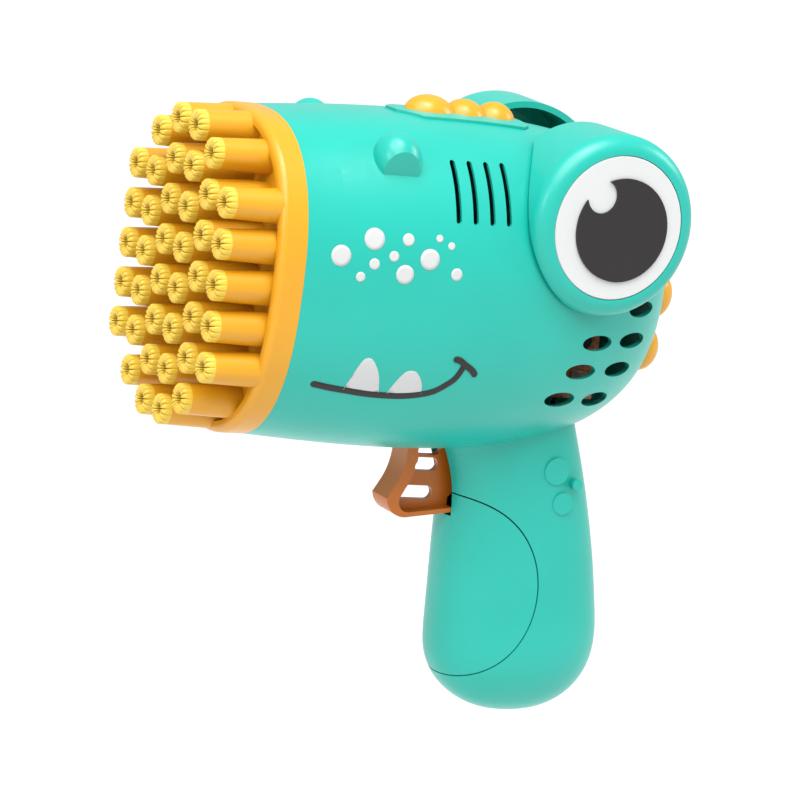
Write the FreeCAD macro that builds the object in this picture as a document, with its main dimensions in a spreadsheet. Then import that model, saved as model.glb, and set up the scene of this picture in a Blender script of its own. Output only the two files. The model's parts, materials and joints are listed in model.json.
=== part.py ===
"""Hand-held bubble machine shaped like a cartoon creature, in millimetres.

+X runs from the muzzle to the tail, -Y is the creature's left side, +Z is up.
The origin is the middle of the hand grip.
"""
import FreeCAD, Part
import Sketcher
import math
import os
import re
from FreeCAD import Placement, Rotation, Vector

doc = FreeCAD.newDocument("BubbleMachine")

# ---------------------------------------------------------------- sizes

SIZES = {
    # barrel: a superelliptic tube that closes to a rounded tail
    "barrel_z": 100.0, "joint_x": -107.5, "widest_x": -55.4, "tail_x": 37.0,
    "joint_half_height": 50.0, "widest_half_height": 52.3, "width_ratio": 0.872,
    "tail_lift": 2.4, "wall": 2.2, "front_power": 2.45, "tail_power": 2.0,
    "side_power": 2.76, "side_root": 2.95, "shell_gap": 0.3,
    # grip: a leaning column with a rounded foot
    "grip_top_z": 74.0, "grip_round_z": -12.0, "grip_bottom_z": -37.6,
    "grip_half_length": 28.6, "grip_half_width": 19.2, "grip_middle_x": 2.4,
    "grip_narrowing": 7.3, "grip_thinning": 1.4, "grip_lean": 9.9,
    "grip_flare_z": 28.0, "grip_flare": 5.0, "grip_power": 2.3, "foot_power": 2.2,
    # nozzle cap and its forty bubble tubes
    "cap_front_x": -116.0, "cap_half_width": 43.7, "cap_half_height": 50.1,
    "cap_wall": 3.4, "cap_edge": 2.2, "cap_recess": 2.6, "cap_plate": 2.4,
    "spigot_length": 6.0, "spigot_wall": 1.8,
    "column_pitch": 13.65, "row_pitch": 12.5,
    "tip_x": -133.0, "tip_length": 3.0, "tip_radius": 4.75, "tube_base_radius": 5.45,
    "tube_bore": 3.6, "tip_bore": 1.95,
    # eye pods, one on each side of the head
    "eye_x": -5.9, "eye_z": 127.3, "eye_yaw": 2.6, "pod_pivot_depth": 33.0,
    "pod_radius": 28.4, "pod_front_depth": 46.2, "pod_rim_depth": 19.0, "pod_wall": 2.0,
    "pod_edge": 5.4, "pod_floor": 1.9, "pod_gap": 1.2,
    "eye_white_radius": 22.4, "eye_white_depth": 1.7, "pupil_radius": 16.1, "pupil_depth": 0.7,
    "pupil_x": 1.0, "pupil_z": -0.6, "glint_radius": 5.15, "glint_x": -7.5, "glint_z": 9.4,
    "peg_radius": 3.0, "peg_offset": 12.0, "peg_depth": 27.0,
    # nostril bumps and grip dots, moulded on the shells
    "nostril_x": -76.3, "nostril_y": 31.5, "nostril_z": 140.5, "nostril_radius": 7.7,
    "nostril_height": 9.2, "nostril_flat": 5.2, "dot_reach": 18.2,
    # side vents
    "slot_x": -58.0, "slot_pitch": 5.87, "slot_z": 133.5, "slot_width": 1.9, "slot_length": 17.8,
    "slot_wall": 1.0, "oval_half_length": 6.3, "oval_half_height": 2.55,
    # crest along the back
    "panel_front_x": -65.0, "panel_rear_x": -21.0, "panel_half_width": 11.5,
    "panel_proud": 0.8, "panel_sunk": 1.2, "panel_gap": 0.15,
    # trigger
    "trigger_half_width": 5.4, "trigger_web": 2.4, "trigger_rim": 4.1, "trigger_front_x": -45.4,
    "trigger_rear_x": -25.2, "trigger_low_rear_x": -27.0,
    "ramp_slope": 0.3, "ramp_z": 56.0, "ramp_x": -34.0, "slot_clearance": 0.4, "slot_rear_x": -24.0,
    "notch_z": 25.9,
    "spring_z": 42.5, "spring_x": -19.8, "spring_length": 11.6, "spring_radius": 3.0, "spring_wire": 0.6,
    # switch over the trigger rail
    "plunger_radius": 1.3, "plunger_gap": 0.06, "plunger_top_z": 63.2, "switch_clearance": 0.06,
    "switch_z": 60.6, "switch_height": 8.0, "switch_length": 12.0, "switch_half_width": 3.4,
    "shelf_z": 61.6, "shelf_thickness": 2.4,
    # fan, its housing and the motor
    "bulkhead_x": -86.0, "bulkhead": 1.6, "bulkhead_half_width": 42.0, "bulkhead_half_height": 48.7,
    "shroud_radius": 36.8, "shroud_wall": 1.8, "shroud_length": 20.0,
    "fan_radius": 33.6, "fan_x": -81.0, "fan_width": 9.0, "hub_radius": 8.0, "blade": 1.2, "blade_turn": 32.0,
    "spider_width": 5.0, "motor_x": -65.6, "motor_length": 25.0, "motor_radius": 10.1, "motor_flat": 15.4,
    "cup_length": 12.0, "motor_fit": 0.15, "end_cap": 3.2, "shaft_radius": 1.0, "shaft_fit": 0.05,
    # circuit board behind the oval vents
    "board_x": -5.0, "board_y": -19.5, "board_z": 84.0, "board_length": 27.0, "board_height": 31.0,
    "board": 1.4,
    # battery bay, three AA cells and the door
    "rake": -6.5, "cell_radius": 7.25, "cell_length": 49.2, "nub_radius": 2.7, "nub": 1.3,
    "leaf_room": 3.1, "bay_end": 0.9, "front_cell_x": -12.6, "side_cell_y": 7.6, "rear_cell_x": 0.6,
    "bay_radius": 7.45, "bay_foot": -23.4, "bay_height": 57.6, "bay_front_x": -16.0,
    "door_screw_x": -18.0, "door_screw_y": 10.5, "door_screw_z": -5.0, "contact": 0.5, "leaf_radius": 4.1,
    "leaf": 0.4, "leaf_width": 5.0, "leaf_height": 3.0, "plate_side": 9.0,
    "door_x": -29.5, "door_z": 3.5, "door_radius": 29.8, "door_gap": 0.45,
    # self-tapping screws
    "post_radius": 3.3, "pilot_radius": 1.25, "shank_radius": 1.3, "head_radius": 2.6, "head_height": 1.8,
    "clearance_radius": 1.6, "sink_radius": 2.9, "seat_y": 6.0, "shank_length": 14.0,
    "lead_radius": 0.7,
}

sheet = doc.addObject("Spreadsheet::Sheet", "Sizes")
for row, (alias, size) in enumerate(SIZES.items(), start=1):
    sheet.set(f"A{row}", alias)
    sheet.set(f"B{row}", str(size))
    sheet.setAlias(f"B{row}", alias)
doc.recompute()


def bound(text):
    """Put the sheet's name before each alias in an expression."""
    return re.sub(r"[a-z]\w*", lambda word: "Sizes." + word[0] if word[0] in SIZES else word[0], str(text))


def number(text):
    """Work an expression out from the sheet."""
    return float(sheet.evalExpression(str(text)))


def bind(item, **sizes):
    for name, text in sizes.items():
        item.setExpression(name, bound(text))
    return item


# ---------------------------------------------------------------- building blocks

ALONG_X = Rotation(Vector(0, 1, 0), 90)
ALONG_Y = Rotation(Vector(1, 0, 0), -90)
ALONG_Z = Rotation()
LEAN = Rotation(Vector(0, 1, 0), number("rake"))
FACING_OUT = Rotation(Vector(0, 0, 1), number("eye_yaw")) * Rotation(Vector(1, 0, 0), 90)


def place(item, at, turn):
    item.Placement = Placement(Vector(), turn)
    for axis, text in zip("xyz", at):
        item.setExpression(f"Placement.Base.{axis}", bound(text))
    return item


def primitive(kind, name, at, turn=ALONG_Z, **sizes):
    item = doc.addObject("Part::" + kind, name)
    bind(item, **sizes)
    return place(item, at, turn)


def cylinder(name, radius, height, at, turn=ALONG_Z):
    return primitive("Cylinder", name, at, turn, Radius=radius, Height=height)


def box(name, low, high, turn=ALONG_Z):
    size = [f"({b}) - ({a})" for a, b in zip(low, high)]
    return primitive("Box", name, low, turn, Length=size[0], Width=size[1], Height=size[2])


def ellipsoid(name, at, along_x, along_y, along_z, turn=ALONG_Z):
    item = primitive("Ellipsoid", name, at, turn, Radius1=along_z, Radius2=along_x, Radius3=along_y)
    item.Angle1, item.Angle2, item.Angle3 = -90, 90, 360
    return item


def fuse(name, *items):
    joined = doc.addObject("Part::MultiFuse", name)
    joined.Shapes = list(items)
    return joined


def cut(name, base, tool):
    rest = doc.addObject("Part::Cut", name)
    rest.Base, rest.Tool = base, tool
    return rest


def common(name, first, second):
    shared = doc.addObject("Part::Common", name)
    shared.Base, shared.Tool = first, second
    return shared


def group(name, *items):
    together = doc.addObject("Part::Compound", name)
    together.Links = list(items)
    return together


def mirrored(name, source):
    twin = doc.addObject("Part::Mirroring", name)
    twin.Source, twin.Base, twin.Normal = source, Vector(), Vector(0, 1, 0)
    return twin


def rounded(name, base, radius, wanted):
    """Round the edges of base for which wanted(edge) is true."""
    doc.recompute()
    item = doc.addObject("Part::Fillet", name)
    item.Base = base
    size = number(radius)
    item.Edges = [(i, size, size) for i, edge in enumerate(base.Shape.Edges, start=1) if wanted(edge)]
    return item


def sketch(body, role, name, corners, radii=None):
    """A closed outline whose corners, and the radii of its arcs, are bound to the sheet.

    radii[i] is the radius of the arc from corner i to the next one; a positive one
    bulges to the right of that direction.
    """
    plane = next(item for item in body.Origin.OriginFeatures if item.Role == role)
    drawing = body.newObject("Sketcher::SketchObject", name)
    drawing.AttachmentSupport, drawing.MapMode = (plane, ""), "FlatFace"
    points = [Vector(number(a), number(b), 0) for a, b in corners]
    radii = radii or {}
    for index, start in enumerate(points):
        finish = points[(index + 1) % len(points)]
        if index in radii:
            radius = number(radii[index])
            half = (finish - start) * 0.5
            side = Vector(half.y, -half.x, 0).normalize() * math.copysign(1, radius)
            sagitta = abs(radius) - math.sqrt(radius * radius - half.Length ** 2)
            drawing.addGeometry(Part.Arc(start, start + half + side * sagitta, finish))
        else:
            drawing.addGeometry(Part.LineSegment(start, finish))
    tie_corners(drawing, corners, points, radii)
    return drawing


def tie_corners(drawing, corners, points, radii):
    count = len(points)
    first_end = {i: 2 if i in radii and number(radii[i]) < 0 else 1 for i in range(count)}
    for index, (corner, point) in enumerate(zip(corners, points)):
        before = (index - 1) % count
        here = first_end[index]
        drawing.addConstraint(Sketcher.Constraint("Coincident", before, 3 - first_end[before], index, here))
        across, up = ("DistanceX", corner[0], point.x, -2), ("DistanceY", corner[1], point.y, -1)
        for kind, text, value, axis in (across, up):
            if abs(value) < 1e-9:
                drawing.addConstraint(Sketcher.Constraint("PointOnObject", index, here, axis))
                continue
            which = drawing.addConstraint(Sketcher.Constraint(kind, index, here, value))
            drawing.setExpression(f"Constraints[{which}]", bound(text))
    for index, text in radii.items():
        which = drawing.addConstraint(Sketcher.Constraint("Radius", index, abs(number(text))))
        drawing.setExpression(f"Constraints[{which}]", bound(f"abs({text})"))


def padded(name, role, length, corners, radii=None):
    """A PartDesign body: an outline padded to both sides of its plane."""
    body = doc.addObject("PartDesign::Body", name)
    pad = body.newObject("PartDesign::Pad", name + "_pad")
    pad.Profile = sketch(body, role, name + "_outline", corners, radii)
    pad.Midplane = True
    pad.setExpression("Length", bound(length))
    return body


def turned(name, corners, radii=None):
    """A PartDesign body: an outline of radius and height turned about Z."""
    body = doc.addObject("PartDesign::Body", name)
    outline = sketch(body, "XZ_Plane", name + "_outline", corners, radii)
    turn = body.newObject("PartDesign::Revolution", name + "_turn")
    turn.Profile = outline
    turn.ReferenceAxis = (outline, ["V_Axis"])
    turn.Angle = 360
    return body


def superellipse(name, centre, across, up, half_across, half_up, power, steps=40):
    """A closed curve |a|^power + |b|^power = 1 in the plane of the unit vectors across and up."""
    points = []
    for step in range(steps):
        angle = 2 * math.pi * step / steps
        cosine, sine = math.cos(angle), math.sin(angle)
        a = half_across * math.copysign(abs(cosine) ** (2 / power), cosine)
        b = half_up * math.copysign(abs(sine) ** (2 / power), sine)
        points.append(centre + across * a + up * b)
    curve = Part.BSplineCurve()
    curve.interpolate(points, PeriodicFlag=True)
    ring = doc.addObject("Part::Feature", name)
    ring.Shape = Part.Wire(curve.toShape())
    return ring


def loft(name, rings):
    skin = doc.addObject("Part::Loft", name)
    skin.Sections, skin.Solid, skin.Ruled = rings, True, False
    return skin


def barrel(name, inset):
    """The barrel's form, its surface moved inwards by inset."""
    joint, widest = number("joint_x"), number("widest_x")
    tail = number("tail_x") - inset
    full, ratio = number("widest_half_height"), number("width_ratio")
    stations = []
    for part in (0, 0.5, 1):
        height = number("joint_half_height")
        height += (full - height) * math.sin(part * math.pi / 2)
        stations.append((joint + (widest - joint) * part, ratio * height, height, 0))
    for part in (0.2, 0.38, 0.54, 0.68, 0.8, 0.89, 0.95, 0.985, 0.998):
        width = (ratio * full - inset) * math.sqrt(1 - part ** 2) + inset
        height = (full - inset) * (1 - part ** number("side_power")) ** (1 / number("side_root")) + inset
        stations.append((widest + (tail - widest) * part, width, height, part))
    rings = []
    for index, (x, width, height, part) in enumerate(stations):
        middle = Vector(x, 0, number("barrel_z") + number("tail_lift") * part ** 2)
        power = number("front_power") + (number("tail_power") - number("front_power")) * part
        rings.append(superellipse(f"{name}_ring{index}", middle, Vector(0, 1, 0), Vector(0, 0, 1),
                                  width - inset, height - inset, power))
    return loft(name, rings)


def grip(name, inset):
    """The grip's form, its surface moved inwards by inset."""
    round_z, depth = number("grip_round_z"), number("grip_round_z - grip_bottom_z") - inset
    upper = [number("grip_top_z") + (round_z - number("grip_top_z")) * part / 7 for part in range(8)]
    lower = [round_z - depth * part for part in (0.35, 0.6, 0.78, 0.9, 0.965, 0.993)]
    rings = []
    for index, z in enumerate(upper + lower):
        rise = max(0, (z - round_z) / 67)
        flare = number("grip_flare") * max(0, (z - number("grip_flare_z")) / 20) ** 2
        flare = min(flare, 2 * number("grip_flare"))
        length = number("grip_half_length") - number("grip_narrowing") * rise ** 1.6 + flare / 2
        width = number("grip_half_width") - number("grip_thinning") * rise
        x = number("grip_middle_x") - number("grip_lean") * rise ** 1.25 - flare / 2
        sink = max(0, (round_z - z) / depth)
        power = number("foot_power")
        squeeze = (1 - sink ** power) ** (1 / power)
        rings.append(superellipse(f"{name}_ring{index}", Vector(x, 0, z), Vector(0, 1, 0), Vector(1, 0, 0),
                                  (width - inset) * squeeze, (length - inset) * squeeze, number("grip_power")))
    return loft(name, rings)


def stadium(name, x, z, length, height, upright=False):
    """A cutter with round ends that runs right through the head along Y."""
    half, radius = f"(({length}) - ({height})) / 2", f"({height}) / 2"
    if upright:
        low, high = (f"{x} - {radius}", "-60", f"{z} - {half}"), (f"{x} + {radius}", "60", f"{z} + {half}")
        ends = [(x, "-60", f"{z} - {half}"), (x, "-60", f"{z} + {half}")]
    else:
        low, high = (f"{x} - {half}", "-60", f"{z} - {radius}"), (f"{x} + {half}", "60", f"{z} + {radius}")
        ends = [(f"{x} - {half}", "-60", z), (f"{x} + {half}", "-60", z)]
    rounds = [cylinder(f"{name}_end{i}", radius, "120", at, ALONG_Y) for i, at in enumerate(ends)]
    return fuse(name, box(name + "_middle", low, high), *rounds)


PARTS = {}


def part(label, item):
    item.Label = label
    PARTS[label] = item
    return item


# ---------------------------------------------------------------- shells

barrel_outside = barrel("barrel_outside", 0)
barrel_inside = barrel("barrel_inside", number("wall"))
grip_outside = grip("grip_outside", 0)
grip_inside = grip("grip_inside", number("wall"))


NOSTRIL_LEAN, NOSTRIL_TURN, NOSTRIL_TILT = -10, -3, 19


def shifted(at, offset):
    """Expressions for a point moved by an offset in millimetres."""
    return [f"{start} + ({step:.4f})" for start, step in zip(at, offset)]


def nostril(name, side):
    """An egg on the snout with its outer part cut flat."""
    at = ("nostril_x", f"{side} * nostril_y", "nostril_z")
    egg = ellipsoid(name + "_egg", at, "nostril_radius", "nostril_radius", "nostril_height",
                    Rotation(Vector(0, 1, 0), NOSTRIL_LEAN))
    tilt = Rotation(Vector(0, 0, 1), -side * NOSTRIL_TURN) * Rotation(Vector(1, 0, 0), -side * NOSTRIL_TILT)
    block_side, flat_depth = number("4 * nostril_radius"), number("nostril_flat")
    start = flat_depth if side > 0 else -block_side - flat_depth
    corner = tilt.multVec(Vector(-block_side / 2, start, -block_side / 2))
    block = primitive("Box", name + "_block", shifted(at, corner), tilt,
                      Length="4 * nostril_radius", Width="4 * nostril_radius", Height="4 * nostril_radius")
    return cut(name, egg, block)


def grip_dots():
    """Three low round bumps behind the trigger, the same on both sides."""
    dots = []
    places = (("1.5", "44.3", "4.3"), ("5.2", "34.0", "3.5"), ("9.5", "40.4", "1.7"))
    for index, (x, z, size) in enumerate(places):
        dots.append(cylinder(f"dot{index}", size, "2 * dot_reach", (x, "-dot_reach", z), ALONG_Y))
    return fuse("grip_dots", *dots)


SCREW_PLACES = ((-94, 141), (-94, 59), (-14, 143), (26, 108), (12, 41), (2, -30))


def inner_ribs():
    """Screw posts, the spring stop and the switch shelf, as far as the middle plane."""
    posts = [cylinder(f"post{i}", "post_radius", "60", (x, "-60", z), ALONG_Y)
             for i, (x, z) in enumerate(SCREW_PLACES)]
    spring_stop = box("spring_stop", ("-8.2", "-40", "36.6"), ("-6.4", "0", "52"))
    shelf = box("shelf", ("-41", "-50", "shelf_z"),
                ("-27", "-switch_half_width - 0.4", "shelf_z + shelf_thickness"))
    return fuse("inner_ribs", *posts, spring_stop, shelf)


def board_posts():
    foot = "board_y - board / 2 - 60"
    posts = [cylinder(f"board_post{i}", "2.4", "60", (x, foot, "95.6"), ALONG_Y)
             for i, x in enumerate(("-15", "4"))]
    return fuse("board_posts", *posts)


OVAL_PLACES = ((17.5, 99.4), (-1.0, 89.3), (15.6, 89.4), (-5.1, 79.9), (12.2, 79.9),
               (-9.8, 70.4), (6.9, 69.6))


def oval(name, x, z):
    """An elliptic cutter that runs right through the head along Y."""
    ring = doc.addObject("Part::Ellipse", name + "_ring")
    bind(ring, MajorRadius="oval_half_length", MinorRadius="oval_half_height")
    place(ring, (str(x), "-60", str(z)), Rotation(Vector(1, 0, 0), 90))
    prism = doc.addObject("Part::Extrusion", name)
    prism.Base, prism.DirMode, prism.Dir, prism.Solid = ring, "Custom", Vector(0, 1, 0), True
    return bind(prism, LengthFwd="120")


def vents():
    cutters = [stadium(f"slot{i}", f"(slot_x + {i} * slot_pitch)", "slot_z", "slot_length", "slot_width", True)
               for i in range(4)]
    for index, (x, z) in enumerate(OVAL_PLACES):
        cutters.append(oval(f"oval{index}", x, z))
    return cutters


def slot_pocket():
    """A thinner patch of wall behind the slots, so they look like openings."""
    patch = box("slot_patch", ("slot_x - 3.4", "-60", "122.5"),
                ("slot_x + 3 * slot_pitch + 3.4", "-20", "144.5"))
    return common("slot_pocket", patch, barrel("slot_bed", number("slot_wall")))


def pod_axis(depth):
    """Expressions for the point on the left pod's axis at a depth from the middle plane."""
    beyond = f"(({depth}) - pod_pivot_depth)"
    return (f"eye_x + {beyond} * {math.sin(math.radians(SIZES['eye_yaw'])):.5f}",
            f"-pod_pivot_depth - {beyond} * {math.cos(math.radians(SIZES['eye_yaw'])):.5f}", "eye_z")


def beside(at, across, up="0"):
    """The point beside one on the left pod's axis, measured along its face."""
    yaw = math.radians(SIZES["eye_yaw"])
    return (f"{at[0]} + ({across}) * {math.cos(yaw):.5f}", f"{at[1]} + ({across}) * {math.sin(yaw):.5f}",
            f"{at[2]} + ({up})")


def pod_pegs(name, radius, depth_from, depth_to):
    pegs = []
    for index, side in enumerate((-1, 1)):
        at = beside(pod_axis(depth_from), f"{side} * peg_offset")
        pegs.append(cylinder(f"{name}{index}", radius, f"({depth_to}) - ({depth_from})", at, FACING_OUT))
    return fuse(name, *pegs)


def panel_prism(name, extra):
    """Plan outline of the crest panel, raised to a prism."""
    front, rear, half = f"panel_front_x - {extra}", f"panel_rear_x + {extra}", f"panel_half_width + {extra}"
    corners = [(front, f"-({half}) / 3"), (f"{front} + 6.5", f"-({half})"), (f"{rear} - 3", f"-({half})"),
               (rear, f"-({half}) + 3"), (rear, f"({half}) - 3"), (f"{rear} - 3", f"({half})"),
               (f"{front} + 6.5", f"({half})"), (front, f"({half}) / 3")]
    body = padded(name, "XY_Plane", "400", corners)
    return body


def shells():
    outside = fuse("outside", barrel_outside, grip_outside, nostril("nostril_left", -1),
                   nostril("nostril_right", 1), grip_dots())
    inside = fuse("inside", barrel_inside, grip_inside)
    hollow = cut("hollow", outside, inside)
    door_hole = cylinder("door_hole", "door_radius + door_gap", "100", ("door_x", "-50", "door_z"), ALONG_Y)
    side = "trigger_half_width + slot_clearance"
    trigger_hole = box("trigger_hole", ("-46.2", f"-({side})", "notch_z"), ("slot_rear_x", side, "51"))
    pegs = pod_pegs("peg_holes", "peg_radius + 0.15", "24", "46")
    bed = barrel("panel_bed", number("panel_sunk"))
    panel_seat = cut("panel_seat", panel_prism("panel_seat_prism", "panel_gap"), bed)
    above = box("upper_half", ("-90", "-20", "130"), ("0", "20", "170"))
    upper = common("panel_seat_upper", panel_seat, above)
    half = common("half_hollow", hollow, box("left_half", ("-200", "-100", "-100"), ("100", "0", "200")))
    half = fuse("half_walls", half, common("ribs", inside, inner_ribs()))
    openings = fuse("openings", door_hole, trigger_hole, pegs, upper, slot_pocket(), *vents())
    half = cut("half_shell", half, openings)
    deep = "seat_y - shank_length - 1"
    pilots = [cylinder(f"pilot{i}", "pilot_radius", "shank_length + 2", (x, deep, z), ALONG_Y)
              for i, (x, z) in enumerate(SCREW_PLACES)]
    left = fuse("left_walls", half, common("board_ribs", inside, board_posts()))
    left = cut("shell_left", left, fuse("pilots", *pilots))
    sinks = []
    for i, (x, z) in enumerate(SCREW_PLACES):
        sinks.append(cylinder(f"sink{i}", "sink_radius", "60", (x, "seat_y", z), ALONG_Y))
        sinks.append(cylinder(f"through{i}", "clearance_radius", "seat_y + 2", (x, "-1", z), ALONG_Y))
    right = cut("shell_right", mirrored("right_walls", half), fuse("screw_sinks", *sinks))
    part("shell_left", left)
    part("shell_right", right)


def body_screws():
    screws = []
    for i, (x, z) in enumerate(SCREW_PLACES):
        head = cylinder(f"screw_head{i}", "head_radius", "head_height", (x, "seat_y", z), ALONG_Y)
        tip = "seat_y - shank_length"
        shank = cylinder(f"screw_shank{i}", "pilot_radius - 0.02", "shank_length", (x, tip, z), ALONG_Y)
        recess = box(f"screw_recess{i}", (f"{x} - 1.6", "seat_y + head_height - 0.8", f"{z} - 0.3"),
                     (f"{x} + 1.6", "seat_y + head_height + 1", f"{z} + 0.3"))
        screws.append(cut(f"screw{i}", fuse(f"screw_blank{i}", head, shank), recess))
    part("body_screws", group("body_screws", *screws))


# ---------------------------------------------------------------- nozzle cap

COLUMNS = (5, 7, 8, 8, 7, 5)


def tube_places():
    """Tube centres as expressions: six columns of staggered rows about the barrel axis."""
    for column, count in enumerate(COLUMNS):
        for row in range(count):
            yield f"{column - 2.5} * column_pitch", f"barrel_z + {row - (count - 1) / 2} * row_pitch"


def cap_prism(name, inset, start, finish):
    """A length of the cap's superelliptic outline, moved inwards by inset."""
    middle = Vector(number(start), 0, number("barrel_z"))
    ring = superellipse(name + "_ring", middle, Vector(0, 1, 0), Vector(0, 0, 1), number("cap_half_width") - inset,
                        number("cap_half_height") - inset, number("front_power"))
    prism = doc.addObject("Part::Extrusion", name)
    prism.Base, prism.DirMode, prism.Dir, prism.Solid = ring, "Custom", Vector(1, 0, 0), True
    return bind(prism, LengthFwd=f"({finish}) - ({start})")


def nozzle_cap():
    """The cap's band, the plate of tapered tubes that closes it, and the tubes' tips."""
    plate_front, plate_rear = "cap_front_x + cap_recess", "cap_front_x + cap_recess + cap_plate"
    tubes, bores, tips = [], [], []
    for index, (y, z) in enumerate(tube_places()):
        foot = ("tip_x + tip_length", y, z)
        tubes.append(primitive("Cone", f"tube{index}", foot, ALONG_X, Radius1="tip_radius",
                               Radius2="tube_base_radius", Height=f"{plate_front} + 0.8 - ({foot[0]})"))
        bores.append(cylinder(f"bore{index}", "tube_bore", "30", ("tip_x + tip_length - 1", y, z), ALONG_X))
        ring = cylinder(f"tip_ring{index}", "tip_radius", "tip_length", ("tip_x", y, z), ALONG_X)
        hole = cylinder(f"tip_hole{index}", "tip_bore", "tip_length + 2", ("tip_x - 1", y, z), ALONG_X)
        tips.append(cut(f"tip{index}", ring, hole))
    tubes, bores = fuse("tubes", *tubes), fuse("bores", *bores)
    band = cap_prism("cap_band", 0, "cap_front_x", "joint_x")
    band = rounded("cap_rounded", band, "cap_edge",
                   lambda edge: all(abs(vertex.X - number("cap_front_x")) < 1e-4 for vertex in edge.Vertexes))
    spigot_inset = number("wall + shell_gap")
    spigot = cap_prism("cap_spigot", spigot_inset, "joint_x - 2", "joint_x + spigot_length")
    room = cap_prism("cap_room", number("cap_wall"), "cap_front_x - 1", plate_rear)
    hollow = cap_prism("cap_hollow", spigot_inset + number("spigot_wall"), f"{plate_rear} - 1",
                       "joint_x + spigot_length + 1")
    cuts = fuse("cap_cuts", room, hollow, tubes, bores)
    part("nozzle_cap", cut("nozzle_cap", fuse("cap_blank", band, spigot), cuts))
    plate = cap_prism("tube_plate", number("cap_wall"), plate_front, plate_rear)
    part("bubble_tubes", cut("bubble_tubes", fuse("plate_with_tubes", plate, tubes), bores))
    part("bubble_tips", group("bubble_tips", *tips))


# ---------------------------------------------------------------- eyes

def eyes():
    outline = [("pod_radius - pod_wall", "pod_rim_depth"), ("pod_radius", "pod_rim_depth"),
               ("pod_radius", "pod_front_depth - pod_edge"), ("pod_radius - pod_edge", "pod_front_depth"),
               ("eye_white_radius + 0.15", "pod_front_depth"),
               ("eye_white_radius + 0.15", "pod_front_depth - eye_white_depth"),
               ("0", "pod_front_depth - eye_white_depth"),
               ("0", "pod_front_depth - eye_white_depth - pod_floor"),
               ("pod_radius - pod_edge", "pod_front_depth - eye_white_depth - pod_floor"),
               ("pod_radius - pod_wall", "pod_front_depth - pod_edge")]
    cup = turned("pod_cup", outline, {2: "pod_edge"})
    place(cup, pod_axis("0"), FACING_OUT)
    trimmed = cut("pod_trimmed", cup, barrel("pod_clearance", -number("pod_gap")))
    pegs = pod_pegs("pod_pegs", "peg_radius", "peg_depth", "pod_front_depth - eye_white_depth - 1")
    left = part("eye_pod_left", fuse("eye_pod_left", trimmed, pegs))
    part("eye_pod_right", mirrored("eye_pod_right", left))
    disc = cylinder("eye_disc", "eye_white_radius", "eye_white_depth",
                    pod_axis("pod_front_depth - eye_white_depth"), FACING_OUT)
    disc = rounded("eye_white_left", disc, "0.4",
                   lambda edge: edge.Curve.TypeId == "Part::GeomCircle"
                   and edge.CenterOfMass.y < -number("pod_front_depth") + 0.8)
    part("eye_white_left", disc)
    part("eye_white_right", mirrored("eye_white_right", disc))
    pupil_at = beside(pod_axis("pod_front_depth"), "pupil_x", "pupil_z")
    black = cylinder("pupil_disc", "pupil_radius", "pupil_depth", pupil_at, FACING_OUT)
    glint_at = beside(pod_axis("pod_front_depth - 1"), "glint_x", "glint_z")
    glint = cylinder("glint", "glint_radius", "pupil_depth + 3", glint_at, FACING_OUT)
    pupil = part("pupil_left", cut("pupil_left", black, glint))
    part("pupil_right", mirrored("pupil_right", pupil))


# ---------------------------------------------------------------- crest

def crest():
    skin = barrel("panel_outside", -number("panel_proud"))
    lid = common("panel_blank", skin, panel_prism("panel_prism", "0"))
    lid = cut("panel_under", lid, barrel("panel_inside", number("panel_sunk")))
    above = box("above_barrel", ("-90", "-30", "130"), ("0", "30", "170"))
    part("crest_panel", common("crest_panel", lid, above))
    places = (("-51.6", "151.2", ("8.6", "6.8", "6.5"), 6), ("-39.4", "151.2", ("6.9", "6.6", "6.0"), 10),
              ("-28.9", "150.8", ("6.7", "6.2", "6.2"), 12))
    scales = [ellipsoid(f"scale{i}", (x, "0", z), *size, Rotation(Vector(0, 1, 0), lean))
              for i, (x, z, size, lean) in enumerate(places)]
    bed = barrel("scale_bed", -number("panel_proud"))
    part("crest_scales", cut("crest_scales", fuse("scales", *scales), bed))
    tail = [ellipsoid("tail_scale_top", ("33.5", "0", "117"), "6.5", "6.2", "7.6"),
            ellipsoid("tail_scale_middle", ("36.4", "0", "99.8"), "6.6", "6.2", "8.0"),
            ellipsoid("tail_scale_low", ("34.2", "0", "82.6"), "6.6", "6.2", "7.8")]
    part("tail_scales", cut("tail_scales", fuse("tail_bumps", *tail), barrel("tail_bed", 0)))


# ---------------------------------------------------------------- trigger, spring and switch

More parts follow.
